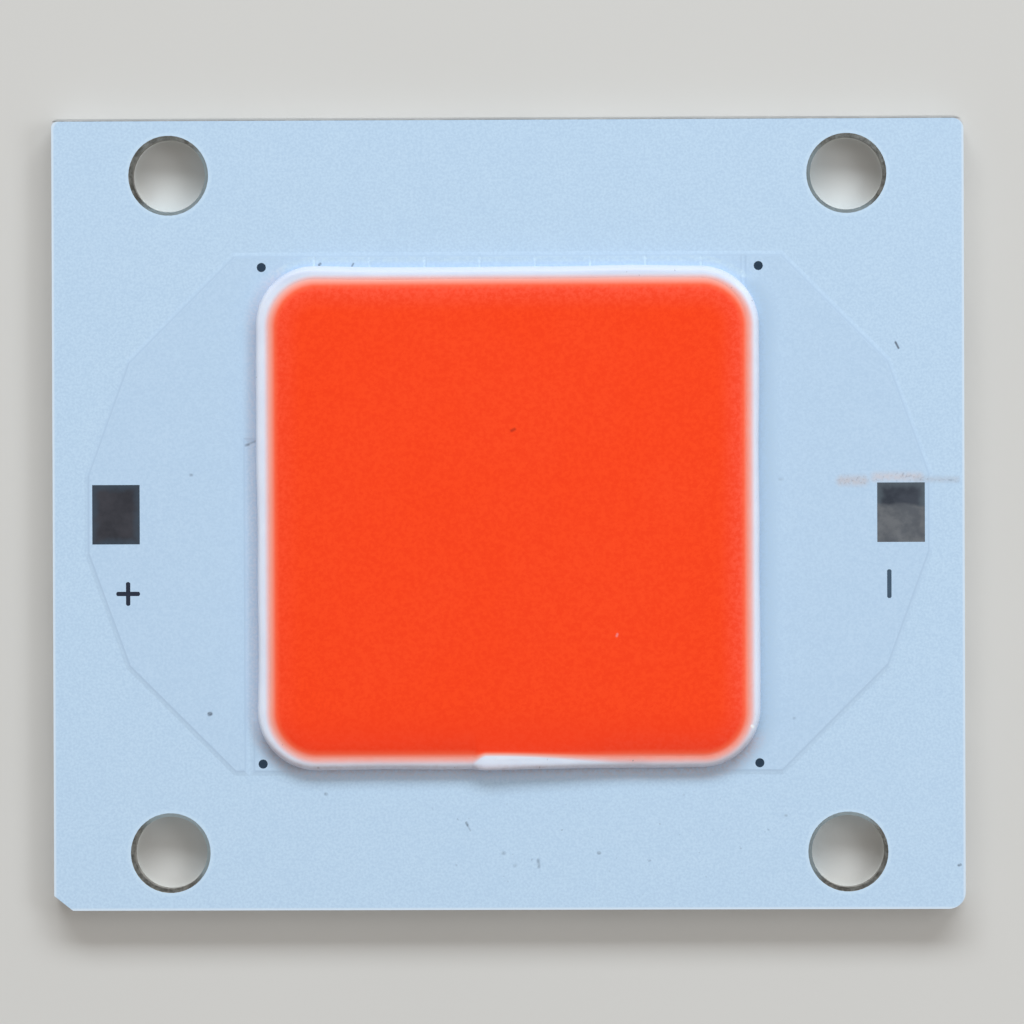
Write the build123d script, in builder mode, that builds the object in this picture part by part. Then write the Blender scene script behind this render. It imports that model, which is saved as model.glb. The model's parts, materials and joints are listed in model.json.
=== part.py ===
from build123d import *
import os

# Chip-on-board LED module on an aluminium-core board, in millimetres.
# X runs from the plus pad to the minus pad, Z is the way the light leaves,
# and the origin is the middle of the back face, which goes against a heat sink.

# Board
board_length = 46.0
board_width = 40.0
plate_thickness = 1.5
plus_corner_radius = 0.3
minus_corner_radius = 0.55
far_corner_radius = 0.85
key_corner_length = 0.95
key_corner_width = 0.75
score_width = 0.15
score_depth = 0.5

# Punched fixing holes: a straight land at the back that flares towards the top face
hole_inset_length = 5.9
hole_inset_width = 2.9
hole_diameter = 3.66
hole_land = 1.2
hole_flare = 0.19

# Layers on the plate
insulation_thickness = 0.1
copper_thickness = 0.035
mask_thickness = 0.05
mask_side_width = 0.03
mask_ramp_width = 0.3
tin_thickness = 0.03

# Emitting field, measured from crest to crest of the dam, which was laid a little off centre
field_width = 24.06
field_corner_radius = 2.35
field_shift = -0.2

# Dam bead, with the end of the bead lying over its start as a teardrop
dam_width = 1.3
dam_height = 0.75
bead_flats = 6
seam_start = -1.7
seam_length = 8.2
seam_rise = 0.12
seam_inset = 0.05

# Phosphor fill: it feathers out on the crest and swells to a flat top
fill_crown = 0.09
fill_slope = 1.0

# Wiring pads, polarity marks and alignment dots, all tinned openings in the mask
pad_length = 2.4
pad_width = 3.0
mark_inset = 0.6
mark_stroke = 0.22
mark_chamfer = 0.06
plus_size = 1.2
plus_drop = 2.5
minus_size = 1.45
minus_drop = 2.1
dot_diameter = 0.47
dot_sides = 12
dot_offset = 0.5
dot_shift_length = 0.12
dot_shift_width = -0.08

# Copper foil: two zones and a row of relay pads on each side of the field
zone_edge_gap = 1.9
zone_pad_margin = 0.1
zone_flat_margin = 0.45
zone_shoulder = 7.6
zone_corner = 0.85
anode_gap = 0.72
anode_feed_height = 3.9
anode_feed_tuck = 0.23
cathode_tuck = 0.07
row_overhang = 0.87
row_reach_length = 0.83
end_pad_width = 1.63
relay_gap = 0.3
relay_end_gap = 0.4
relay_dot_margin = 0.12

# Openings under the field: the mask ends below the crest, the insulation inside the pads
mask_tuck = 0.13
mask_corner_cut = 1.4
window_margin = 0.28
window_setback = 0.15

# LED chips: columns wired side by side in threes, and the threes one after another
chips_per_column = [8, 8, 8, 9, 9, 9, 8, 8, 8]
columns_abreast = 3
chip_size = 0.9
chip_height = 0.15
chip_margin = 0.35
chip_terminal = 0.3

# Bond wires
wire_thickness = 0.05
wire_foot = 0.08
wire_loop = 0.25
wire_crest_share = 0.3
landing_inset = 0.5
jumper_inset = 0.25

# Levels
plate_top = plate_thickness
copper_base = plate_top + insulation_thickness
copper_top = copper_base + copper_thickness
mask_top = copper_base + mask_thickness
plateau_top = copper_top + mask_thickness
dam_crest = mask_top + dam_height
fill_top = dam_crest + fill_crown
chip_top = plate_top + chip_height

# Half sizes of the field, counted from the middle of the board
field_half = field_width / 2
dam_inside = field_half - dam_width / 2
dam_outside = field_half + dam_width / 2
row_outer = field_half + row_overhang
row_inner = dam_inside - row_reach_length
window_half_length = dam_inside - window_margin
window_half_width = row_inner - window_setback

columns = len(chips_per_column)
relay_count = columns - 1
relay_pitch = 2 * (dam_inside - end_pad_width) / (relay_count - 1)

hole_spacing_x = board_length - 2 * hole_inset_length
hole_spacing_y = board_width - 2 * hole_inset_width
hole_top_radius = hole_diameter / 2 + hole_flare


def board_outline(top_trim):
    """The board's outline: three rounded corners, the cut key corner and a trim at the top edge."""
    half_x = board_length / 2
    half_y = board_width / 2
    with BuildSketch() as outline:
        with Locations((0, -top_trim / 2)):
            Rectangle(board_length, board_width - top_trim)
        fillet(outline.vertices().sort_by_distance((-half_x, half_y))[0], plus_corner_radius)
        fillet(outline.vertices().sort_by_distance((half_x, half_y))[0], minus_corner_radius)
        fillet(outline.vertices().sort_by_distance((half_x, -half_y))[0], far_corner_radius)
        with BuildLine():
            Polyline(
                (-half_x, -half_y),
                (-half_x + key_corner_length, -half_y),
                (-half_x, -half_y + key_corner_width),
                close=True,
            )
        make_face(mode=Mode.SUBTRACT)
    return outline.sketch


def etched(*strips):
    """A piece of the foil: strips (left, low, right, high) kept where they lie on the eight-sided pour."""
    far = board_length / 2 - zone_edge_gap
    flat = pad_width / 2 + zone_flat_margin
    corner = row_outer + zone_corner
    shoulder = corner + row_outer - zone_shoulder
    side = [(corner, row_outer), (shoulder, zone_shoulder), (far, flat)]
    right = side + [(x, -y) for x, y in reversed(side)]
    with BuildSketch() as outline:
        for left, low, right_end, high in strips:
            with Locations(((left + right_end) / 2, (low + high) / 2)):
                Rectangle(right_end - left, high - low)
        with BuildLine():
            Polyline(*right, *[(-x, -y) for x, y in right], close=True)
        make_face(mode=Mode.INTERSECT)
    return outline.sketch


def pad(x):
    with BuildSketch() as outline:
        with Locations((x, 0)):
            Rectangle(pad_length, pad_width)
    return outline.sketch


def dot(x, y):
    """A dot at a corner of the field, with the shift of the whole set of dots."""
    with BuildSketch() as outline:
        with Locations((x + dot_shift_length, y + dot_shift_width)):
            RegularPolygon(dot_diameter / 2, dot_sides)
    return outline.sketch


def strokes(x, y, size, *angles):
    """Straight marks with broken corners, crossing at one point."""
    with BuildSketch() as bar:
        Rectangle(size, mark_stroke)
        chamfer(bar.vertices(), mark_chamfer)
    with BuildSketch() as outline:
        for angle in angles:
            with Locations(Location((x, y), angle)):
                add(bar.sketch)
    return outline.sketch


# Outlines of the foil
gap_middles = [(k - (relay_count - 1) / 2) * relay_pitch for k in range(relay_count)]
anode_edge = -(dam_outside + anode_gap)
feed_edge = -(field_half - anode_feed_tuck)
cathode_edge = field_half + cathode_tuck
foil_end = board_length / 2
dot_place = field_half + dot_offset
row_start = dot_shift_length - dot_place - dot_diameter / 2 - relay_dot_margin

foil = {
    "anode_copper": etched(
        (-foil_end, -row_outer, anode_edge, row_outer),
        (anode_edge, anode_feed_height, feed_edge, row_outer),
        (feed_edge, row_inner, gap_middles[0] - relay_gap / 2, row_outer),
    ),
    "cathode_copper": etched(
        (cathode_edge, -row_outer, foil_end, row_outer),
        (gap_middles[-1] + relay_gap / 2, -row_outer, cathode_edge, -row_inner),
    ),
}
top_ends = gap_middles + [cathode_edge - relay_end_gap + relay_gap / 2]
bottom_starts = [row_start - relay_gap / 2] + gap_middles
for k in range(relay_count):
    left = top_ends[k] + relay_gap / 2
    right = top_ends[k + 1] - relay_gap / 2
    foil[f"relay_pad_top_{k + 1}"] = etched((left, row_inner, right, row_outer))
for k in range(relay_count):
    left = bottom_starts[k] + relay_gap / 2
    right = bottom_starts[k + 1] - relay_gap / 2
    foil[f"relay_pad_bottom_{k + 1}"] = etched((left, -row_outer, right, -row_inner))

# Outlines of the tinned openings
pad_x = board_length / 2 - zone_edge_gap - zone_pad_margin - pad_length / 2
mark_x = pad_x - mark_inset
tinned = {
    "solder_pad_plus": pad(-pad_x),
    "solder_pad_minus": pad(pad_x),
    "plus_mark": strokes(-mark_x, -pad_width / 2 - plus_drop, plus_size, 0, 90),
    "minus_mark": strokes(mark_x, -pad_width / 2 - minus_drop, minus_size, 90),
    "alignment_dot_top_left": dot(-dot_place, dot_place),
    "alignment_dot_top_right": dot(dot_place, dot_place),
    "alignment_dot_bottom_left": dot(-dot_place, -dot_place),
    "alignment_dot_bottom_right": dot(dot_place, -dot_place),
}

os.makedirs("parts", exist_ok=True)

# Base plate, scored along its top edge from both faces
with BuildPart() as base_plate:
    with BuildSketch():
        add(board_outline(0))
    extrude(amount=plate_thickness)
    with BuildSketch(Plane.YZ):
        for face_z, inward in ((0, 1), (plate_thickness, -1)):
            with BuildLine():
                Polyline(
                    (board_width / 2, face_z),
                    (board_width / 2 - score_width, face_z),
                    (board_width / 2, face_z + inward * score_depth),
                    close=True,
                )
            make_face()
    extrude(amount=board_length, both=True, mode=Mode.SUBTRACT)
    with BuildSketch(Plane.XZ) as hole_profile:
        with BuildLine():
            Polyline(
                (0, 0),
                (hole_diameter / 2, 0),
                (hole_diameter / 2, hole_land),
                (hole_top_radius, plate_thickness),
                (0, plate_thickness),
                close=True,
            )
        make_face()
    with GridLocations(hole_spacing_x, hole_spacing_y, 2, 2):
        add(revolve(hole_profile.sketch, axis=Axis.Z, mode=Mode.PRIVATE), mode=Mode.SUBTRACT)
base_plate.part.label = "base_plate"
export_step(base_plate.part, "parts/base_plate.step")

# Insulation between plate and foil, open under the field so that the chips sit on metal
with BuildPart() as insulation_layer:
    with BuildSketch(Plane.XY.offset(plate_top)):
        add(board_outline(score_width))
        Rectangle(2 * window_half_length, 2 * window_half_width, mode=Mode.SUBTRACT)
        with GridLocations(hole_spacing_x, hole_spacing_y, 2, 2):
            Circle(hole_top_radius, mode=Mode.SUBTRACT)
    extrude(amount=insulation_thickness)
insulation_layer.part.label = "insulation_layer"
export_step(insulation_layer.part, "parts/insulation_layer.step")

# Copper foil, one piece for each net
copper = []
for name, outline in foil.items():
    with BuildPart() as foil_piece:
        with BuildSketch(Plane.XY.offset(copper_base)):
            add(outline)
        extrude(amount=copper_thickness)
    foil_piece.part.label = name
    export_step(foil_piece.part, f"parts/{name}.step")
    copper.append(foil_piece.part)

# Tin on the copper, where the mask is open
for name, outline in tinned.items():
    with BuildPart() as tin_piece:
        with BuildSketch(Plane.XY.offset(copper_top)):
            add(outline)
        extrude(amount=tin_thickness)
    tin_piece.part.label = name
    export_step(tin_piece.part, f"parts/{name}.step")

# Solder mask: a thin skin that climbs over the foil by a short ramp
with BuildPart() as solder_mask:
    with BuildSketch(Plane.XY.offset(copper_base)):
        add(board_outline(score_width))
    extrude(amount=mask_thickness)
    for outline in foil.values():
        with BuildSketch(Plane.XY.offset(mask_top)):
            add(outline)
            offset(amount=mask_ramp_width, kind=Kind.INTERSECTION)
        with BuildSketch(Plane.XY.offset(plateau_top)):
            add(outline)
            offset(amount=mask_side_width, kind=Kind.INTERSECTION)
        loft(ruled=True)
    add(copper, mode=Mode.SUBTRACT)
    with BuildSketch(Plane.XY.offset(copper_base)) as openings:
        Rectangle(field_width - 2 * mask_tuck, field_width - 2 * mask_tuck)
        chamfer(openings.vertices(), mask_corner_cut)
        for outline in tinned.values():
            add(outline)
        with GridLocations(hole_spacing_x, hole_spacing_y, 2, 2):
            Circle(hole_top_radius)
    extrude(amount=plateau_top - copper_base, mode=Mode.SUBTRACT)
solder_mask.part.label = "solder_mask"
export_step(solder_mask.part, "parts/solder_mask.step")

# Dam: the teardrop of the seam, then the bead round the field, seated on mask and foil
seam_radius = dam_width / 2 - seam_inset
seam_axis_z = dam_crest + seam_rise - seam_radius
with BuildPart() as dam:
    with BuildSketch(Plane.XZ.offset(field_half - field_shift)):
        with BuildLine():
            tail = (seam_start + seam_length, seam_axis_z)
            shoulder = (seam_start + seam_radius, seam_axis_z + seam_radius)
            RadiusArc((seam_start, seam_axis_z), shoulder, seam_radius)
            Line(shoulder, tail)
            Line(tail, (seam_start, seam_axis_z))
        make_face()
    revolve(axis=Axis((0, field_shift - field_half, seam_axis_z), (1, 0, 0)))
    split(bisect_by=Plane.XY.offset(seam_axis_z), keep=Keep.TOP)
    with BuildLine(Plane.XY.offset(mask_top)) as dam_path:
        FilletPolyline(
            (-field_half, -field_half + field_shift),
            (field_half, -field_half + field_shift),
            (field_half, field_half + field_shift),
            (-field_half, field_half + field_shift),
            radius=field_corner_radius,
            close=True,
        )
    bead_way = dam_path.line % 0
    with BuildLine(mode=Mode.PRIVATE) as bead_back:
        EllipticalCenterArc((0, 0), dam_width / 2, dam_height, arc_size=180)
    with BuildSketch(Plane(dam_path.line @ 0, Axis.Z.direction.cross(bead_way), bead_way)):
        with BuildLine():
            Polyline(
                *[bead_back.line @ (k / bead_flats) for k in range(bead_flats + 1)],
                (-dam_width / 2, -mask_thickness),
                (dam_width / 2, -mask_thickness),
                close=True,
            )
        make_face()
    sweep(path=dam_path.line)
    add([solder_mask.part, *copper], mode=Mode.SUBTRACT)
dam.part.label = "dam"
export_step(dam.part, "parts/dam.step")

# LED chips, column by column
reach_x = window_half_length - chip_margin - chip_size / 2
reach_y = window_half_width - chip_margin - chip_size / 2


def current_way(column):
    """The way of the current in a column: 1 towards the bottom of the board, -1 towards the top."""
    return 1 if column // columns_abreast % 2 == 0 else -1


def chip_places(column):
    """Chip centres of a column, in the order of the current."""
    count = chips_per_column[column]
    x = reach_x * (2 * column / (columns - 1) - 1)
    return [(x, current_way(column) * reach_y * (1 - 2 * k / (count - 1))) for k in range(count)]


chips = []
for column in range(columns):
    with BuildPart() as chip_column:
        with BuildSketch(Plane.XY.offset(plate_top)):
            with Locations(*chip_places(column)):
                Rectangle(chip_size, chip_size)
        extrude(amount=chip_height)
    chip_column.part.label = f"chip_column_{column + 1}"
    export_step(chip_column.part, f"parts/chip_column_{column + 1}.step")
    chips.append(chip_column.part)

# Bond wires, column by column
landing_y = (row_inner + dam_inside - abs(field_shift)) / 2


def landing_x(column):
    """Where a column's wires land on its relay pad, or on the copper zone at either end."""
    if column == 0:
        return gap_middles[0] - relay_gap / 2 - landing_inset
    if column == columns - 1:
        return gap_middles[-1] + relay_gap / 2 + landing_inset
    return (gap_middles[column - 1] + gap_middles[column]) / 2


def jumper(column, y):
    """A wire from this column's pad to the next one's, across the gap in the foil."""
    left = Vector(landing_x(column) + jumper_inset, y, copper_top)
    right = Vector(landing_x(column + 1) - jumper_inset, y, copper_top)
    return left, right


def column_hops(column):
    """Start and end point of every wire of a column, and of its jumpers to the next one."""
    way = current_way(column)
    stops = [Vector(landing_x(column), way * landing_y, copper_top)]
    for x, y in chip_places(column):
        stops.append(Vector(x, y + way * chip_terminal, chip_top))
        stops.append(Vector(x, y - way * chip_terminal, chip_top))
    stops.append(Vector(landing_x(column), -way * landing_y, copper_top))
    hops = list(zip(stops[0::2], stops[1::2]))
    if column < columns - 1:
        hops.append(jumper(column, -way * landing_y))
        if current_way(column + 1) == way:
            hops.append(jumper(column, way * landing_y))
    return hops


wires = []
for column in range(columns):
    with BuildPart() as wire_column:
        for start, end in column_hops(column):
            level_run = Vector(end.X - start.X, end.Y - start.Y, 0)
            along = level_run.normalized()
            length = level_run.length
            drop = end.Z - start.Z
            crest_x = wire_crest_share * length
            with BuildSketch(Plane(start, along, along.cross(Axis.Z.direction))):
                with BuildLine():
                    Polyline(
                        (0, 0),
                        (crest_x, wire_loop),
                        (length, drop),
                        (length - wire_foot, drop),
                        (crest_x, wire_loop - wire_thickness),
                        (wire_foot, 0),
                        close=True,
                    )
                make_face()
            extrude(amount=wire_thickness / 2, both=True)
    wire_column.part.label = f"wire_column_{column + 1}"
    export_step(wire_column.part, f"parts/wire_column_{column + 1}.step")
    wires.append(wire_column.part)

# Phosphor fill, poured round everything inside the dam
with BuildPart() as phosphor_fill:
    with BuildSketch(Plane.XY.offset(plate_top)):
        with Locations((0, field_shift)):
            RectangleRounded(field_width, field_width, field_corner_radius)
    extrude(amount=fill_top - plate_top)
    chamfer(phosphor_fill.edges().group_by(Axis.Z)[-1], fill_crown, fill_slope)
    add([insulation_layer.part, solder_mask.part, dam.part], mode=Mode.SUBTRACT)
    add([*copper, *chips, *wires], mode=Mode.SUBTRACT)
phosphor_fill.part.label = "phosphor_fill"
export_step(phosphor_fill.part, "parts/phosphor_fill.step")
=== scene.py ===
import json
import math

import bpy
from mathutils import Matrix, Vector


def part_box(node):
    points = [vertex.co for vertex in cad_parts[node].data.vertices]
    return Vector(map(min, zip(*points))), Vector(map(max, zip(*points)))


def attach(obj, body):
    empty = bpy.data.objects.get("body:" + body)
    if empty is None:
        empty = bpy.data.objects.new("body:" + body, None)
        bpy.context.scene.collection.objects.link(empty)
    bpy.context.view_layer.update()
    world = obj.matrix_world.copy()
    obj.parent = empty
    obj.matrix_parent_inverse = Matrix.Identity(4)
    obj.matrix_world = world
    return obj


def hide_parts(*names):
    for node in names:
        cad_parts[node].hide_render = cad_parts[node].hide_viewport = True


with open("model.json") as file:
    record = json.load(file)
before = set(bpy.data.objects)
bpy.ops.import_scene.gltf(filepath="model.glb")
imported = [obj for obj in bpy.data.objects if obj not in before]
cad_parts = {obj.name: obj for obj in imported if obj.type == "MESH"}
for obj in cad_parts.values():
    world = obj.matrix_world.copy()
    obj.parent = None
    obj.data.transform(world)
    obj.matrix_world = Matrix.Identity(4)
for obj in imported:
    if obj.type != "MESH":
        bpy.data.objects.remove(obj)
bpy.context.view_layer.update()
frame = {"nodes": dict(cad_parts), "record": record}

# Shapes are in metres, materials in millimetres, and MM turns the second into the first
MM = 0.001

# Sockets of a Mix node that blends colours
MIX_FACTOR = 0
MIX_FIRST = 6
MIX_SECOND = 7
MIX_RESULT = 2

# Places and sizes that the frame gives
fill_low, fill_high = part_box("phosphor_fill")
dam_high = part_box("dam")[1]
mask_low, mask_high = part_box("solder_mask")
plate_low, plate_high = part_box("base_plate")
field_half = (fill_high.x - fill_low.x) / 2
field_centre = (fill_low + fill_high) / 2
dam_half_width = dam_high.x - fill_high.x

# The fixing holes, in millimetres, as the record's first mount gives them
hole_dims = frame["record"]["mounts"][0]["dims"]
hole_x = hole_dims["spacing_x_mm"] / 2
hole_y = hole_dims["spacing_y_mm"] / 2
hole_radius = hole_dims["hole_r_mm"]

# Sizes that the frame's boxes don't tell
field_corner = 2.35 * MM
mask_skin = 0.05 * MM
fill_crown = 0.09 * MM
fill_slope = 1.0 * MM

dam_foot = mask_low.z + mask_skin
dam_crest = fill_high.z - fill_crown

# The seam on the bead's low side, where its end lies over its start: a round nose and a long tail to +X,
# how far it stands out, and how far it rises over the crest
seam_start = -1.7 * MM
seam_length = 8.2 * MM
seam_nose = 0.7 * MM
seam_shift = 0.20 * MM
seam_rise = dam_high.z - dam_crest

# Shape of the bead's section, as powers of an ellipse: squarer shoulders as they get smaller
outer_shoulder = 0.60
left_shoulder = 0.36
nose_shoulder = 0.42
tail_shoulder = 0.74
inner_shoulder = 0.72

# Unevenness of the hand-laid bead: each wave's number round the field, its height and its phase
width_waves = [(3, 0.03, 0.4), (7, 0.02, 1.9), (17, 0.012, 0.7)]
height_waves = [(2, 0.015, 2.2), (9, 0.012, 0.3), (23, 0.008, 1.1)]
sway_waves = [(4, 1.0, 0.9), (11, 0.5, 2.4)]
sway_reach = 0.03 * MM

# Rings of the pour, by how far in from the crest they lie, and the shallow sag of its surface: its depth,
# its waves along X and Y in radians to the metre, and their phases
fill_insets = [0.06, 0.14, 0.25, 0.4, 0.6, 0.85, 1.2, 1.7, 2.4, 3.4, 4.6, 6.0, 7.6, 9.2, 10.6, 11.5]
smallest_corner = 0.2 * MM
sag_depth = 0.012 * MM
sag_waves = Vector((260.0, 230.0))
sag_phases = Vector((0.8, 1.7))

# The pour lies a little off the bead's line: its shift and growth, how far the orange reaches over the crest
# and how far the white reaches in from it, in millimetres
pour_drift = Vector((0.09, -0.09))
pour_growth = 0.04
bleed_outside = 0.34
bleed_inside = 0.32

# At the seam the pour ends further in and more sharply: by how much, between which distances from the
# seam's start that grows at the nose, from where it fades along the tail, and the band of y of the low side
seam_inset = 0.24
seam_sharpening = 1.6
seam_nose_band = (-0.15, 0.6)
seam_fade_start = 1.0
seam_side_band = (-10.5, -11.2)

# The band of y, in millimetres, over which the grime and the painted shade on the low side of the dam set in
shade_and_grime_band = (-10.8, -11.8)

# Dirt on the board: x, y, length, angle, radius, softness, strength, in millimetres and degrees
board_marks = [
    (19.62, 8.42, 0.34, -62, 0.05, 0.04, 0.80),
    (-15.09, -10.07, 0.06, 20, 0.10, 0.05, 0.75),
    (-2.13, -15.66, 0.12, -60, 0.06, 0.05, 0.60),
    (-2.02, -15.88, 0.26, -60, 0.03, 0.05, 0.30),
    (1.47, -17.66, 0.34, -85, 0.06, 0.08, 0.40),
    (-0.29, -17.14, 0.04, 0, 0.08, 0.07, 0.30),
    (0.29, -17.77, 0.04, 0, 0.07, 0.07, 0.25),
    (4.53, -17.14, 0.04, 0, 0.08, 0.05, 0.45),
    (13.77, 1.68, 0.12, 0, 0.06, 0.08, 0.18),
    (-13.16, 3.50, 0.12, 15, 0.06, 0.06, 0.55),
    (-12.90, 3.62, 0.30, 25, 0.04, 0.05, 0.30),
    (-16.00, 1.99, 0.04, 0, 0.07, 0.06, 0.40),
    (-9.46, 12.59, 0.08, 40, 0.06, 0.04, 0.70),
    (-7.80, 12.56, 0.16, 60, 0.04, 0.04, 0.60),
    (-9.24, -14.13, 0.02, 0, 0.08, 0.05, 0.40),
    (13.96, -15.27, 0.04, 0, 0.06, 0.06, 0.30),
    (14.38, -10.36, 0.04, 0, 0.06, 0.06, 0.22),
    (22.70, -17.79, 0.10, 20, 0.06, 0.04, 0.60),
    (19.90, 1.90, 0.12, 60, 0.03, 0.05, 0.30),
    (20.26, 1.82, 0.10, 20, 0.03, 0.05, 0.26),
    (22.29, 1.61, 0.14, 0, 0.03, 0.05, 0.34),
]

# Rubbed-off stain beside the minus pad, in the same terms, and its colour
stain_strokes = [
    (17.36, 1.60, 1.10, 0, 0.22, 0.22, 0.90, (193, 194, 202)),
    (19.60, 1.78, 2.20, 0, 0.18, 0.22, 0.80, (203, 201, 208)),
    (21.60, 1.65, 2.00, 0, 0.09, 0.18, 0.66, (178, 189, 203)),
]


def srgb(red, green, blue):
    """A colour given in screen values from 0 to 255, as Blender's linear colour."""
    def linear(value):
        value /= 255
        return value / 12.92 if value <= 0.04045 else ((value + 0.055) / 1.055) ** 2.4

    return (linear(red), linear(green), linear(blue), 1.0)


class Graph:
    """A material with a Principled shader, and short calls for the nodes that feed it.

    Its place, and its x, y and z, are the frame's coordinates in millimetres.
    """

    def __init__(self, name, **constants):
        self.material = bpy.data.materials.new(name)
        self.material.use_nodes = True
        self.tree = self.material.node_tree
        self.shader = self.tree.nodes["Principled BSDF"]
        for socket, value in constants.items():
            self.shader.inputs[socket.replace("_", " ").title().replace("Ior", "IOR")].default_value = value
        point = self.node("ShaderNodeTexCoord").outputs["Object"]
        scaled = self.node("ShaderNodeVectorMath", {"Vector": point, "Scale": 1 / MM}, operation="SCALE")
        self.place = scaled.outputs[0]
        self.x, self.y, self.z = self.node("ShaderNodeSeparateXYZ", {"Vector": self.place}).outputs

    def put(self, socket, value):
        if isinstance(value, bpy.types.NodeSocket):
            self.tree.links.new(value, socket)
        else:
            socket.default_value = value

    def node(self, kind, inputs=None, **settings):
        made = self.tree.nodes.new(kind)
        for name, value in settings.items():
            setattr(made, name, value)
        for key, value in (inputs or {}).items():
            self.put(made.inputs[key], value)
        return made

    def math(self, operation, *values):
        return self.node("ShaderNodeMath", dict(enumerate(values)), operation=operation).outputs[0]

    def product(self, first, *others):
        result = first
        for other in others:
            result = self.math("MULTIPLY", result, other)
        return result

    def norm(self, x, y):
        """The length of a vector in the board's plane."""
        squares = self.math("ADD", self.math("POWER", x, 2.0), self.math("POWER", y, 2.0))
        return self.math("SQRT", squares)

    def ramp(self, value, start, end, low=0.0, high=1.0):
        """A smooth step from low to high as value goes from start to end."""
        inputs = dict(enumerate((value, start, end, low, high)))
        return self.node("ShaderNodeMapRange", inputs, interpolation_type="SMOOTHSTEP").outputs[0]

    def mix(self, factor, first, second):
        """A colour that goes from first to second."""
        inputs = {MIX_FACTOR: factor, MIX_FIRST: first, MIX_SECOND: second}
        return self.node("ShaderNodeMix", inputs, data_type="RGBA").outputs[MIX_RESULT]

    def tint(self, colour, factor, strength, tone):
        """The colour, taken towards a tone in screen values by factor times strength."""
        return self.mix(self.product(factor, strength), colour, srgb(*tone))

    def noise(self, scale, detail=2.0, roughness=0.5, stretch=None):
        """Noise from 0 to 1 with about scale bumps to the millimetre, stretched along the axes if asked."""
        place = self.place
        if stretch:
            stretched = self.node("ShaderNodeVectorMath", {0: place, 1: stretch}, operation="MULTIPLY")
            place = stretched.outputs[0]
        inputs = {"Vector": place, "Scale": scale, "Detail": detail, "Roughness": roughness}
        return self.node("ShaderNodeTexNoise", inputs).outputs["Fac"]

    def wobble(self, scale, reach):
        """An uneven shift to both sides of 0, within reach from end to end."""
        return self.product(self.math("SUBTRACT", self.noise(scale, 3.0), 0.5), reach)

    def box_distance(self, centre_x, centre_y, half_x, half_y, corner):
        """Distance in millimetres outside a rounded box in the board's plane, and negative inside it."""
        from_x = self.math("ABSOLUTE", self.math("SUBTRACT", self.x, centre_x))
        from_y = self.math("ABSOLUTE", self.math("SUBTRACT", self.y, centre_y))
        over_x = self.math("SUBTRACT", from_x, half_x - corner)
        over_y = self.math("SUBTRACT", from_y, half_y - corner)
        outside = self.norm(self.math("MAXIMUM", over_x, 0.0), self.math("MAXIMUM", over_y, 0.0))
        inside = self.math("MINIMUM", self.math("MAXIMUM", over_x, over_y), 0.0)
        return self.math("SUBTRACT", self.math("ADD", outside, inside), corner)

    def field_distance(self, drift=Vector((0.0, 0.0)), growth=0.0):
        """Distance in millimetres outside the crest of the dam, and negative over the phosphor."""
        half = field_half / MM + growth
        centre_x = field_centre.x / MM + drift.x
        centre_y = field_centre.y / MM + drift.y
        return self.box_distance(centre_x, centre_y, half, half, field_corner / MM + growth)

    def pour_distance(self):
        """As field_distance, with the pour's drift, and from further in where the seam lies over it."""
        run = self.math("SUBTRACT", self.x, seam_start / MM)
        nose = self.ramp(run, *seam_nose_band)
        tail = self.ramp(run, seam_length / MM, seam_fade_start)
        seam = self.product(nose, tail, self.ramp(self.y, *seam_side_band))
        drifted = self.field_distance(pour_drift, pour_growth)
        shifted = self.math("ADD", drifted, self.product(seam, seam_inset))
        return self.product(shifted, self.math("ADD", self.product(seam, seam_sharpening), 1.0))

    def from_hole(self):
        """How far outwards a point lies from the axis of the nearest fixing hole, along X and along Y."""
        from_x = self.math("SUBTRACT", self.math("ABSOLUTE", self.x), hole_x)
        from_y = self.math("SUBTRACT", self.math("ABSOLUTE", self.y), hole_y)
        return from_x, from_y

    def mark(self, x, y, length, angle, radius, soft):
        """A soft-edged stroke with its middle at x, y, at an angle in degrees: 1 on it and 0 off it."""
        from_x = self.math("SUBTRACT", self.x, x)
        from_y = self.math("SUBTRACT", self.y, y)
        cosine = math.cos(math.radians(angle))
        sine = math.sin(math.radians(angle))
        along = self.math("ADD", self.product(from_x, cosine), self.product(from_y, sine))
        across = self.math("SUBTRACT", self.product(from_y, cosine), self.product(from_x, sine))
        past_end = self.math("SUBTRACT", self.math("ABSOLUTE", along), length / 2)
        from_stroke = self.norm(self.math("MAXIMUM", past_end, 0.0), across)
        return self.ramp(from_stroke, radius + soft, max(radius - soft, 0.0))

    def halfway(self, factor, most):
        """The given most where factor is a half, falling to 0 where it is 0 or 1."""
        return self.product(factor, self.math("SUBTRACT", 1.0, factor), 4 * most)

    def bump(self, height, depth):
        """Raises the surface by up to depth millimetres where height is 1."""
        bumped = self.node("ShaderNodeBump", {"Distance": depth * MM, "Height": height})
        self.put(self.shader.inputs["Normal"], bumped.outputs["Normal"])

    def paint(self, colour, roughness=None):
        self.put(self.shader.inputs["Base Color"], colour)
        if roughness is not None:
            self.put(self.shader.inputs["Roughness"], roughness)


def grime_and_shade_smudges(g, least, most):
    """Cloudy grime and painted shade between two strengths."""
    return g.ramp(g.noise(2.4, 4.0, 0.65), 0.35, 0.7, least, most)


def warm_between(g, colour, bleed):
    """The colour, warmed to salmon where the phosphor's orange is halfway to the dam's white."""
    return g.mix(g.halfway(bleed, 0.4), colour, srgb(252, 150, 98))


def with_painted_glint(g, colour):
    """The colour, with a painted glint at the field's lower right corner."""
    return g.mix(g.mark(12.28, -10.75, 0.06, -45, 0.07, 0.05), colour, srgb(246, 250, 254))


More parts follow.
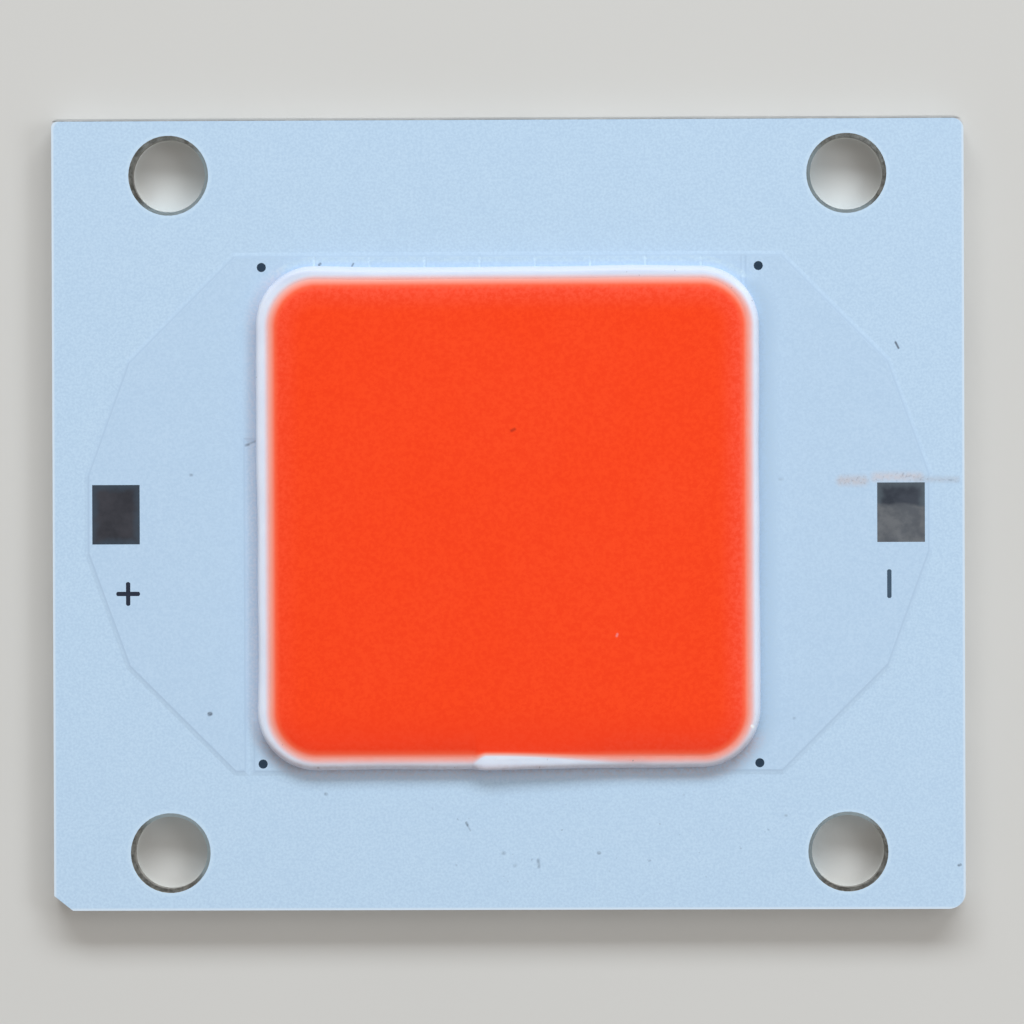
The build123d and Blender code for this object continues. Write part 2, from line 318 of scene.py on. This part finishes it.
def mask_paint():
    """White solder mask: pale blue in this light, a shade deeper over copper, with the dirt of handling."""
    g = Graph("solder_mask_paint", specular_ior_level=0.25)
    mottle = g.noise(0.6, 4.0)
    grain = g.noise(8.0, 2.0, 0.6)
    distance = g.field_distance()
    colour = g.mix(mottle, srgb(189, 216, 240), srgb(194, 220, 242))

    # The copper below: its face, and the top edge and slope of its step, which goes from 0 to 1 with the
    # height; the dark line along the top edge and the darkening of the slope are painted shade
    over_copper = g.ramp(g.z, dam_foot / MM + 0.004, mask_high.z / MM - 0.002)
    colour = g.tint(colour, over_copper, 0.24, (176, 201, 229))
    step = g.math("DIVIDE", g.math("SUBTRACT", g.z, dam_foot / MM), (mask_high.z - dam_foot) / MM)
    painted_shade_brink = g.product(g.ramp(step, 0.45, 0.8), g.ramp(step, 1.0, 0.9))
    colour = g.tint(colour, painted_shade_brink, 0.42, (160, 184, 210))
    slope = g.product(g.ramp(step, 0.02, 0.1), g.ramp(step, 0.7, 0.5))
    colour = g.tint(colour, slope, 0.1, (172, 198, 226))

    # The strip beside the dam, darker over copper as painted shade cast by the dam, and the row of relay
    # pads above it
    right_of_left_side = g.ramp(g.x, -12.0, -8.0, 0.1, 1.0)
    below_top_side = g.ramp(g.y, 12.0, 11.4)
    near_dam = g.ramp(distance, 1.9, 0.75)
    painted_shade_beside_dam = g.product(near_dam, over_copper, right_of_left_side, below_top_side)
    colour = g.tint(colour, painted_shade_beside_dam, 0.85, (168, 193, 215))
    relay_row = g.product(g.ramp(distance, 1.2, 1.05), g.ramp(g.y, 11.8, 12.0))
    outer_ends = g.product(g.ramp(distance, 0.75, 0.94), relay_row)
    colour = g.tint(colour, outer_ends, 0.65, (196, 220, 235))
    between_relays = g.product(g.ramp(step, 1.0, 0.6), relay_row)
    colour = g.tint(colour, between_relays, 0.8, (209, 233, 248))

    # Painted reflected light: a lilac-grey tint in the shade along the left and low sides of the dam; and
    # grime with painted shadow at its foot
    left_side = g.ramp(g.x, -11.0, -11.8, 0.0, 0.7)
    low_side = g.ramp(g.y, -10.8, -11.6)
    painted_lilac_shade = g.product(g.ramp(distance, 1.45, 0.7), g.math("MAXIMUM", left_side, low_side))
    colour = g.tint(colour, painted_lilac_shade, 0.85, (209, 208, 224))
    # Grime and painted shadow at the dam's foot on the low side
    shadow_and_grime_at_foot = g.product(g.ramp(distance, 1.35, 0.6), g.ramp(g.y, *shade_and_grime_band))
    colour = g.mix(g.product(grime_and_shade_smudges(g, 0.34, 0.54), shadow_and_grime_at_foot), colour, srgb(148, 146, 150))
    colour = g.mix(g.ramp(grain, 0.3, 0.7, 0.0, 0.66), colour, srgb(176, 203, 229))

    # Paler rims along the board's edge, a painted highlight on its rolled-over edge, and round the punched
    # holes
    half_x = (plate_high.x - plate_low.x) / 2 / MM
    half_y = (plate_high.y - plate_low.y) / 2 / MM
    edge = g.box_distance(0.0, 0.0, half_x, half_y, corner=0.6)
    colour = g.mix(g.ramp(edge, -0.16, -0.04, 0.0, 0.8), colour, srgb(214, 230, 244))
    from_axis = g.norm(*g.from_hole())
    punched = g.ramp(from_axis, hole_radius + 0.42, hole_radius + 0.26, 0.0, 0.4)
    colour = g.mix(punched, colour, srgb(206, 230, 248))

    # The stain, lint below the dam, and single marks
    rubbed = g.ramp(g.noise(5.0, 4.0, 0.65), 0.32, 0.62, 0.6, 1.0)
    flecks = g.ramp(g.noise(6.5, 2.0, 0.6), 0.54, 0.68, 0.0, 0.4)
    for *stroke_shape, strength, tone in stain_strokes:
        stroke = g.product(g.mark(*stroke_shape), strength)
        colour = g.mix(g.product(stroke, rubbed), colour, srgb(*tone))
        colour = g.mix(g.product(stroke, flecks), colour, srgb(116, 120, 132))
    below_dam = g.mark(5.0, -16.5, 14.0, 0, 2.0, 2.0)
    lint = g.product(g.ramp(g.noise(3.4, 1.0), 0.74, 0.80, 0.0, 0.32), below_dam)
    colour = g.mix(lint, colour, srgb(96, 108, 128))
    ragged = g.ramp(g.noise(7.0, 3.0), 0.3, 0.55, 0.55, 1.0)
    for *mark_shape, strength in board_marks:
        spot = g.product(g.mark(*mark_shape), strength)
        colour = g.mix(g.product(spot, ragged), colour, srgb(52, 58, 74))
    g.paint(colour, g.ramp(mottle, 0.2, 0.8, 0.44, 0.56))
    g.bump(g.noise(3.0, 3.0), 0.003)
    return g.material


def bare_aluminium():
    """Rolled aluminium sheet: fine lines along X, torn walls in the punched holes painted darker as shade
    and with a painted highlight on their side towards the board's middle, and a broken score.
    """
    g = Graph("rolled_aluminium", metallic=1.0)
    lines = g.noise(1.0, 5.0, 0.65, stretch=(0.12, 9.0, 9.0))
    cloud = g.noise(0.25, 3.0)
    colour = g.mix(lines, srgb(196, 198, 200), srgb(226, 228, 230))
    colour = g.mix(g.ramp(cloud, 0.35, 0.7, 0.0, 0.5), colour, srgb(186, 189, 192))

    from_x, from_y = g.from_hole()
    in_hole = g.ramp(g.norm(from_x, from_y), hole_radius + 0.25, hole_radius + 0.2)
    torn = g.noise(2.4, 5.0, 0.7, stretch=(1.0, 1.0, 0.5))
    # Inside the holes: torn metal, painted darker as shade down the hole, paler near the back face, and with
    # a painted highlight on the side towards the board's middle
    wall_with_painted_light = g.mix(g.ramp(torn, 0.35, 0.65), srgb(122, 118, 112), srgb(178, 174, 168))
    wall_with_painted_light = g.mix(g.ramp(g.z, 0.3, 0.05), wall_with_painted_light, srgb(206, 210, 204))
    outwards = g.math("ADD", from_x, from_y)
    wall_with_painted_light = g.mix(g.ramp(outwards, 0.6, -1.0, 0.0, 0.9), wall_with_painted_light, srgb(204, 222, 232))
    above_back = g.ramp(g.z, 0.004, 0.02)
    colour = g.mix(g.product(in_hole, above_back), colour, wall_with_painted_light)

    broken = g.ramp(g.noise(1.6, 4.0, 0.6, stretch=(1.0, 0.1, 0.1)), 0.3, 0.6, 0.25, 1.0)
    from_edge = g.math("SUBTRACT", plate_high.y / MM, g.y)
    score = g.product(g.ramp(from_edge, 0.06, 0.16), broken, g.ramp(from_edge, 0.18, 0.15))
    colour = g.tint(colour, score, 0.85, (92, 96, 98))
    g.paint(colour, g.ramp(lines, 0.25, 0.75, 0.3, 0.46))
    g.bump(lines, 0.003)
    return g.material


def insulation_resin():
    """The filled resin between plate and copper, which shows only as a line at the board's edge."""
    g = Graph("insulation_resin", roughness=0.6)
    g.paint(g.mix(g.noise(4.0, 3.0), srgb(196, 198, 188), srgb(220, 221, 212)))
    return g.material


def copper_foil():
    g = Graph("copper_foil", metallic=1.0)
    grain = g.noise(2.0, 4.0, 0.6)
    g.paint(g.mix(grain, srgb(196, 118, 84), srgb(226, 154, 118)), g.ramp(grain, 0.2, 0.8, 0.28, 0.45))
    g.bump(grain, 0.002)
    return g.material


def node_middle(name):
    """The middle of a CAD node and its half sizes along X and Y, in millimetres."""
    low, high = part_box(name)
    half = (high - low) / 2 / MM
    return (low + high) / 2 / MM, half.x, half.y


def tin(name, dark, light, rim, middle, half_x, half_y):
    """Dull tin on an opening in the mask: mottled between two greys, with a rim of a third tone."""
    g = Graph(name, metallic=0.9)
    mottle = g.noise(0.9, 4.0, 0.6)
    colour = g.mix(g.ramp(mottle, 0.3, 0.7), srgb(*dark), srgb(*light))
    opening = g.box_distance(middle.x, middle.y, half_x, half_y, corner=0.05)
    edge = g.ramp(g.math("ADD", opening, g.wobble(2.2, 0.4)), -0.45, 0.0, 0.0, 0.8)
    g.paint(g.mix(edge, colour, srgb(*rim)), g.ramp(mottle, 0.2, 0.8, 0.38, 0.55))
    g.bump(g.noise(1.6, 3.0), 0.008)
    return g


def plus_pad_tin():
    pad = node_middle("solder_pad_plus")
    return tin("tin_plus_pad", (55, 56, 62), (67, 67, 73), (66, 78, 90), *pad).material


def minus_pad_tin():
    """The minus pad: its upper part dark and its lower part wiped to a lighter grey."""
    middle, half_x, half_y = node_middle("solder_pad_minus")
    g = tin("tin_minus_pad", (54, 59, 68), (68, 73, 82), (92, 102, 110), middle, half_x, half_y)
    upper = g.shader.inputs["Base Color"].links[0].from_socket
    blotch = g.mix(g.ramp(g.noise(1.1, 4.0, 0.6), 0.35, 0.65), srgb(91, 95, 101), srgb(110, 113, 117))
    height = g.math("ADD", g.y, g.wobble(1.3, 0.5))
    wiped = g.ramp(height, middle.y + 0.48, middle.y + 0.22)
    g.paint(g.mix(wiped, upper, blotch))
    return g.material


def mark_tin(name, node, colour):
    """Tin on a small mark: its colour at the rim, and mottled darker inside."""
    darker = [0.88 * value for value in colour]
    return tin(name, darker, colour, colour, *node_middle(node)).material


def dam_silicone():
    """White silicone: the phosphor's colour bleeds through its inner slope, and dust sticks to it; painted
    shade on the top side's outer flank, grime and painted shade on the low side's, and a painted glint at
    the field's lower right corner.
    """
    g = Graph(
        "dam_silicone", specular_ior_level=0.35,
        subsurface_weight=0.25, subsurface_scale=0.2 * MM, subsurface_radius=(1.0, 0.9, 0.85),
    )
    cloud = g.noise(0.8, 3.0)
    distance = g.field_distance()
    white = g.mix(cloud, srgb(214, 223, 241), srgb(225, 234, 248))
    ragged = g.ramp(g.noise(2.6, 3.0), 0.2, 0.8, 0.88, 1.0)
    bleed = g.product(g.ramp(g.pour_distance(), bleed_outside, -bleed_inside), ragged)
    colour = warm_between(g, g.mix(bleed, white, srgb(255, 88, 48)), bleed)
    # Painted shade on the outer flank of the top side, which faces the key lamp
    painted_shade_top_flank = g.product(g.ramp(distance, 0.05, 0.4), g.ramp(g.y, 11.2, 12.0))
    # A painted glint at the field's lower right corner
    colour = with_painted_glint(g, g.tint(colour, painted_shade_top_flank, 0.6, (196, 207, 228)))
    dust = g.ramp(g.noise(3.4, 1.0), 0.76, 0.8, 0.0, 0.5)
    colour = g.mix(dust, colour, srgb(120, 118, 128))
    # Grime and painted shade on the outer flank of the low side
    shade_and_grime_low_flank = g.product(g.ramp(distance, 0.3, 0.55), g.ramp(g.y, *shade_and_grime_band))
    colour = g.mix(g.product(grime_and_shade_smudges(g, 0.28, 0.48), shade_and_grime_low_flank), colour, srgb(178, 150, 152))
    g.paint(colour, g.ramp(cloud, 0.2, 0.8, 0.36, 0.5))
    g.bump(g.noise(1.1, 3.0), 0.012)
    return g.material


def phosphor():
    """Orange-red phosphor in silicone: paler where it thins out over the dam, with painted light in from the
    rim towards the top right, painted shade towards the low side, a few specks and a painted glint.
    """
    g = Graph("phosphor_silicone", specular_ior_level=0.08)
    cloud = g.noise(0.22, 4.0)
    grain = g.noise(5.0, 3.0, 0.6)
    distance = g.pour_distance()
    body = g.mix(cloud, srgb(254, 70, 26), srgb(255, 77, 35))
    # Paler in from the rim where the pour thins, and more so towards the top right: there it is painted
    # light
    top_right = g.ramp(g.math("ADD", g.x, g.y), -12.0, 6.0, 0.3, 0.95)
    body = g.mix(g.product(g.ramp(distance, -1.7, -0.2), top_right), body, srgb(255, 89, 64))
    shaded = g.ramp(g.y, -9.4, -11.8, 0.0, 0.5)
    body = g.mix(shaded, body, srgb(238, 60, 34))
    body = g.mix(g.ramp(grain, 0.35, 0.65, 0.0, 0.55), body, srgb(244, 60, 24))
    at_rim = g.ramp(distance, -0.55, -0.2, 0.0, 0.55)
    body = g.mix(at_rim, body, srgb(253, 118, 82))
    thin = g.ramp(distance, -bleed_inside, bleed_outside)
    colour = warm_between(g, g.mix(thin, body, srgb(226, 233, 247)), thin)
    dark_speck = g.mark(0.28, 4.21, 0.16, 25, 0.07, 0.07)
    colour = g.tint(colour, dark_speck, 0.6, (150, 40, 26))
    light_speck = g.mark(5.48, -6.13, 0.10, 70, 0.05, 0.05)
    colour = g.tint(colour, light_speck, 0.7, (236, 150, 150))
    # A painted glint at the field's lower right corner, over the finished colour
    g.paint(with_painted_glint(g, colour), g.ramp(cloud, 0.2, 0.8, 0.42, 0.54))
    g.bump(g.noise(1.5, 3.0), 0.005)
    return g.material


def led_chip():
    """A sapphire LED chip with fine contact fingers."""
    g = Graph("led_chip", roughness=0.25)
    half_pitch = 0.11
    fingers = g.ramp(g.math("PINGPONG", g.x, half_pitch), 0.085, 0.1)
    colour = g.mix(fingers, srgb(128, 156, 186), srgb(214, 186, 112))
    g.paint(g.mix(g.ramp(g.noise(1.5, 2.0), 0.3, 0.7, 0.0, 0.2), colour, srgb(90, 110, 140)))
    return g.material


def gold_wire():
    g = Graph("gold_wire", metallic=1.0)
    drawn = g.noise(6.0, 3.0)
    g.paint(g.mix(drawn, srgb(226, 180, 92), srgb(246, 208, 128)), g.ramp(drawn, 0.2, 0.8, 0.2, 0.32))
    return g.material


def rounded_square(half, corner, side_steps=120, corner_steps=24):
    """Points round the field from the left end of its bottom side, each with its outward normal."""
    straight = half - corner
    stations = []
    for turn in range(4):
        angle = turn * math.pi / 2
        out = Vector((math.sin(angle), -math.cos(angle)))
        along = Vector((math.cos(angle), math.sin(angle)))
        for k in range(side_steps):
            stations.append((out * half + along * straight * (2 * k / side_steps - 1), out))
        pivot = (out + along) * straight
        for k in range(corner_steps):
            bend = math.pi / 2 * k / corner_steps
            normal = out * math.cos(bend) + along * math.sin(bend)
            stations.append((pivot + normal * corner, normal))
    centre = Vector((field_centre.x, field_centre.y))
    return [(centre + point, normal) for point, normal in stations]


def wave(place, parts):
    """A closed wave round the field: the sum of sines given as (number of waves, height, phase)."""
    return sum(height * math.sin(2 * math.pi * count * place + phase) for count, height, phase in parts)


def seam_run(point, normal):
    """How far a point of the bead's low side lies past the seam's start, and negative on the other sides."""
    faces_down = normal.y <= -0.99
    return point.x - seam_start if faces_down else -1.0


def seam_swell(run):
    """How far the overlapping end of the bead stands out: a round nose and a long tapering tail."""
    if run < 0 or run > seam_length:
        return 0.0
    nose = min(run / seam_nose, 1.0)
    return math.sqrt(1 - (1 - nose) ** 2) * (1 - run / seam_length)


def seam_slump(run):
    """How far the bead's outer shoulder sinks under the seam: more and more towards the end of its tail."""
    if run < 0:
        return 0.0
    past_tail = run - seam_length
    return run / seam_length if past_tail < 0 else max(1 - past_tail / seam_nose, 0.0)


def section_point(station, place, angle):
    """A point of the bead's back at an angle from its outer foot, with the hand-laid unevenness."""
    point, normal = station
    run = seam_run(point, normal)
    swell = seam_swell(run)
    half_width = dam_half_width * (1 + wave(place, width_waves))
    height = (dam_crest - dam_foot) * (1 + wave(place, height_waves))
    sway = sway_reach * wave(place, sway_waves)
    leftward = max(-normal.x, 0.0)
    outer_power = outer_shoulder + (left_shoulder - outer_shoulder) * leftward
    outer_power += (nose_shoulder - outer_shoulder) * swell
    outer_power += (tail_shoulder - outer_shoulder) * seam_slump(run)
    power = outer_power if angle < math.pi / 2 else inner_shoulder
    cosine = math.cos(angle)
    across = math.copysign(abs(cosine) ** power, cosine) * half_width
    up = max(math.sin(angle), 0.0) ** power * (height + seam_rise * swell)
    spot = point + normal * (across + sway + seam_shift * swell * math.sin(angle))
    return (spot.x, spot.y, min(dam_foot + up, dam_high.z))


def bead_ring(angle):
    """One ring of the bead's back round the field, at an angle from its outer foot."""
    stations = rounded_square(field_half, field_corner)
    return [section_point(station, k / len(stations), angle) for k, station in enumerate(stations)]


def ring_mesh(name, rings, closed_section):
    """A mesh of rings with equal numbers of points, joined in turn, and closed on itself or capped."""
    count = len(rings[0])
    points = [point for ring in rings for point in ring]
    faces = []
    pairs = len(rings) if closed_section else len(rings) - 1
    for r in range(pairs):
        first = r * count
        second = (r + 1) % len(rings) * count
        for k in range(count):
            after = (k + 1) % count
            faces.append((first + k, first + after, second + after, second + k))
    if not closed_section:
        faces.append(tuple(reversed(range(count))))
        faces.append(tuple(range((len(rings) - 1) * count, len(rings) * count)))
    mesh = bpy.data.meshes.new(name)
    mesh.from_pydata(points, [], faces)
    mesh.validate()
    mesh.shade_smooth()
    mesh.set_sharp_from_angle(angle=math.radians(50))
    piece = bpy.data.objects.new(name, mesh)
    bpy.context.scene.collection.objects.link(piece)
    return piece


def make_dam():
    """The bead round the field, as rings that run from its outer foot over the crest to its inner foot."""
    steps = 26
    rings = [bead_ring(math.pi * step / steps) for step in range(steps + 1)]
    return ring_mesh("silicone_dam", rings, closed_section=True)


def make_fill():
    """The poured phosphor: up the dam's inner slope to the crest, then in over a low crown."""
    slope_steps = 8
    rings = [bead_ring(math.pi / 2 * (1 + step / slope_steps)) for step in range(slope_steps, -1, -1)]
    crest = rings[-1]
    for inset in [value * MM for value in fill_insets]:
        inward = min(inset / fill_slope, 1.0)
        rise = 1 - (1 - inward) ** 2
        stations = rounded_square(field_half - inset, max(field_corner - inset, smallest_corner))
        ring = []
        for (point, _), (_, _, rim) in zip(stations, crest):
            level = rim + (dam_crest - rim) * inward + fill_crown * rise
            sag_x = math.sin(sag_waves.x * point.x + sag_phases.x)
            sag_y = math.sin(sag_waves.y * point.y + sag_phases.y)
            ring.append((point.x, point.y, min(level + sag_depth * rise * sag_x * sag_y, fill_high.z)))
        rings.append(ring)
    return ring_mesh("phosphor_pour", rings, closed_section=False)


def make_floor():
    """A plain pale floor, clear from below and to the back face right above it, so that the back shows."""
    half = 1.5
    gap = 0.01 * MM
    clear_within = 0.1 * MM
    level = plate_low.z - gap
    corners = [(-half, -half, level), (half, -half, level), (half, half, level), (-half, half, level)]
    mesh = bpy.data.meshes.new("floor")
    mesh.from_pydata(corners, [], [(0, 1, 2, 3)])
    floor = bpy.data.objects.new("floor", mesh)
    bpy.context.scene.collection.objects.link(floor)
    g = Graph("floor_paper", roughness=0.8, specular_ior_level=0.1)
    g.paint(g.mix(g.noise(0.05, 2.0), srgb(206, 206, 203), srgb(210, 210, 207)))
    from_below = g.node("ShaderNodeNewGeometry").outputs["Backfacing"]
    ray_length = g.node("ShaderNodeLightPath").outputs["Ray Length"]
    passing = g.math("MAXIMUM", from_below, g.math("LESS_THAN", ray_length, clear_within))
    clear = g.node("ShaderNodeBsdfTransparent").outputs[0]
    one_sided = g.node("ShaderNodeMixShader", {0: passing, 1: g.shader.outputs[0], 2: clear}).outputs[0]
    g.put(g.tree.nodes["Material Output"].inputs["Surface"], one_sided)
    mesh.materials.append(g.material)


def add_lamp(name, place, width, height, energy):
    """A soft rectangular lamp of a cool white that looks at the middle of the board."""
    lamp = bpy.data.lights.new(name, "AREA")
    lamp.shape = "RECTANGLE"
    lamp.size = width
    lamp.size_y = height
    lamp.energy = energy
    lamp.color = (0.95, 1.0, 1.05)
    holder = bpy.data.objects.new(name, lamp)
    bpy.context.scene.collection.objects.link(holder)
    holder.location = place
    holder.rotation_euler = (-holder.location).to_track_quat("-Z", "Y").to_euler()


def make_lights():
    """A soft key lamp from the top of the board, a weaker one from its right, and an even world."""
    add_lamp("key", place=(0.06, 0.72, 0.54), width=1.0, height=0.27, energy=6.8)
    add_lamp("side", place=(0.42, 0.10, 0.45), width=0.30, height=0.20, energy=0.62)
    ambient = (0.475, 0.445, 0.42, 1.0)
    backdrop = (0.8, 0.8, 0.8, 1.0)

    world = bpy.data.worlds.new("studio")
    bpy.context.scene.world = world
    world.use_nodes = True
    tree = world.node_tree
    path = tree.nodes.new("ShaderNodeLightPath")
    seen = path.outputs["Is Camera Ray"]
    for ray in ("Is Glossy Ray", "Is Transmission Ray"):
        most = tree.nodes.new("ShaderNodeMath")
        most.operation = "MAXIMUM"
        tree.links.new(seen, most.inputs[0])
        tree.links.new(path.outputs[ray], most.inputs[1])
        seen = most.outputs[0]
    sky = tree.nodes.new("ShaderNodeMix")
    sky.data_type = "RGBA"
    tree.links.new(seen, sky.inputs[MIX_FACTOR])
    sky.inputs[MIX_FIRST].default_value = ambient
    sky.inputs[MIX_SECOND].default_value = backdrop
    background = tree.nodes["Background"]
    tree.links.new(sky.outputs[MIX_RESULT], background.inputs["Color"])
    background.inputs["Strength"].default_value = 1.0


def make_camera():
    """The photograph's view: almost straight down, from well above and a little towards the top right."""
    place = Vector((8.1, 3.4, 385.0)) * MM
    aim = Vector((0.197, 0.073, 1.65)) * MM
    roll = 0.0035
    focal_pixels = 7603.0
    image_pixels = 1024
    ahead = (aim - place).normalized()
    right = ahead.cross(Vector((math.sin(roll), math.cos(roll), 0.0))).normalized()
    up = right.cross(ahead)
    lens = bpy.data.cameras.new("camera")
    lens.sensor_width = 36.0
    lens.lens = focal_pixels / image_pixels * lens.sensor_width
    lens.clip_start = 0.01
    lens.clip_end = 20.0
    camera = bpy.data.objects.new("camera", lens)
    bpy.context.scene.collection.objects.link(camera)
    camera.matrix_world = Matrix.Translation(place) @ Matrix((right, up, -ahead)).transposed().to_4x4()
    bpy.context.scene.camera = camera


def finish_node(name, material):
    """Gives every material slot of a CAD node the finish."""
    mesh = frame["nodes"][name].data
    if not mesh.materials:
        mesh.materials.append(material)
    for k in range(len(mesh.materials)):
        mesh.materials[k] = material


def finish_group(prefix, material):
    for name in frame["nodes"]:
        if name.startswith(prefix):
            finish_node(name, material)


bpy.context.scene.view_settings.view_transform = "Standard"
make_camera()
make_lights()
make_floor()

dam = make_dam()
dam.data.materials.append(dam_silicone())
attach(dam, "root")
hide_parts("dam")

fill = make_fill()
fill.data.materials.append(phosphor())
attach(fill, "root")
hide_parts("phosphor_fill")

finish_node("solder_mask", mask_paint())
finish_node("base_plate", bare_aluminium())
finish_node("insulation_layer", insulation_resin())
foil = copper_foil()
finish_node("anode_copper", foil)
finish_node("cathode_copper", foil)
finish_group("relay_pad_", foil)
finish_node("solder_pad_plus", plus_pad_tin())
finish_node("solder_pad_minus", minus_pad_tin())
finish_node("plus_mark", mark_tin("tin_plus_mark", "plus_mark", (47, 53, 68)))
finish_node("minus_mark", mark_tin("tin_minus_mark", "minus_mark", (73, 92, 110)))
for corner in ("top_left", "top_right", "bottom_left", "bottom_right"):
    node = f"alignment_dot_{corner}"
    finish_node(node, mark_tin(f"tin_dot_{corner}", node, (49, 66, 84)))
finish_group("chip_column_", led_chip())
finish_group("wire_column_", gold_wire())
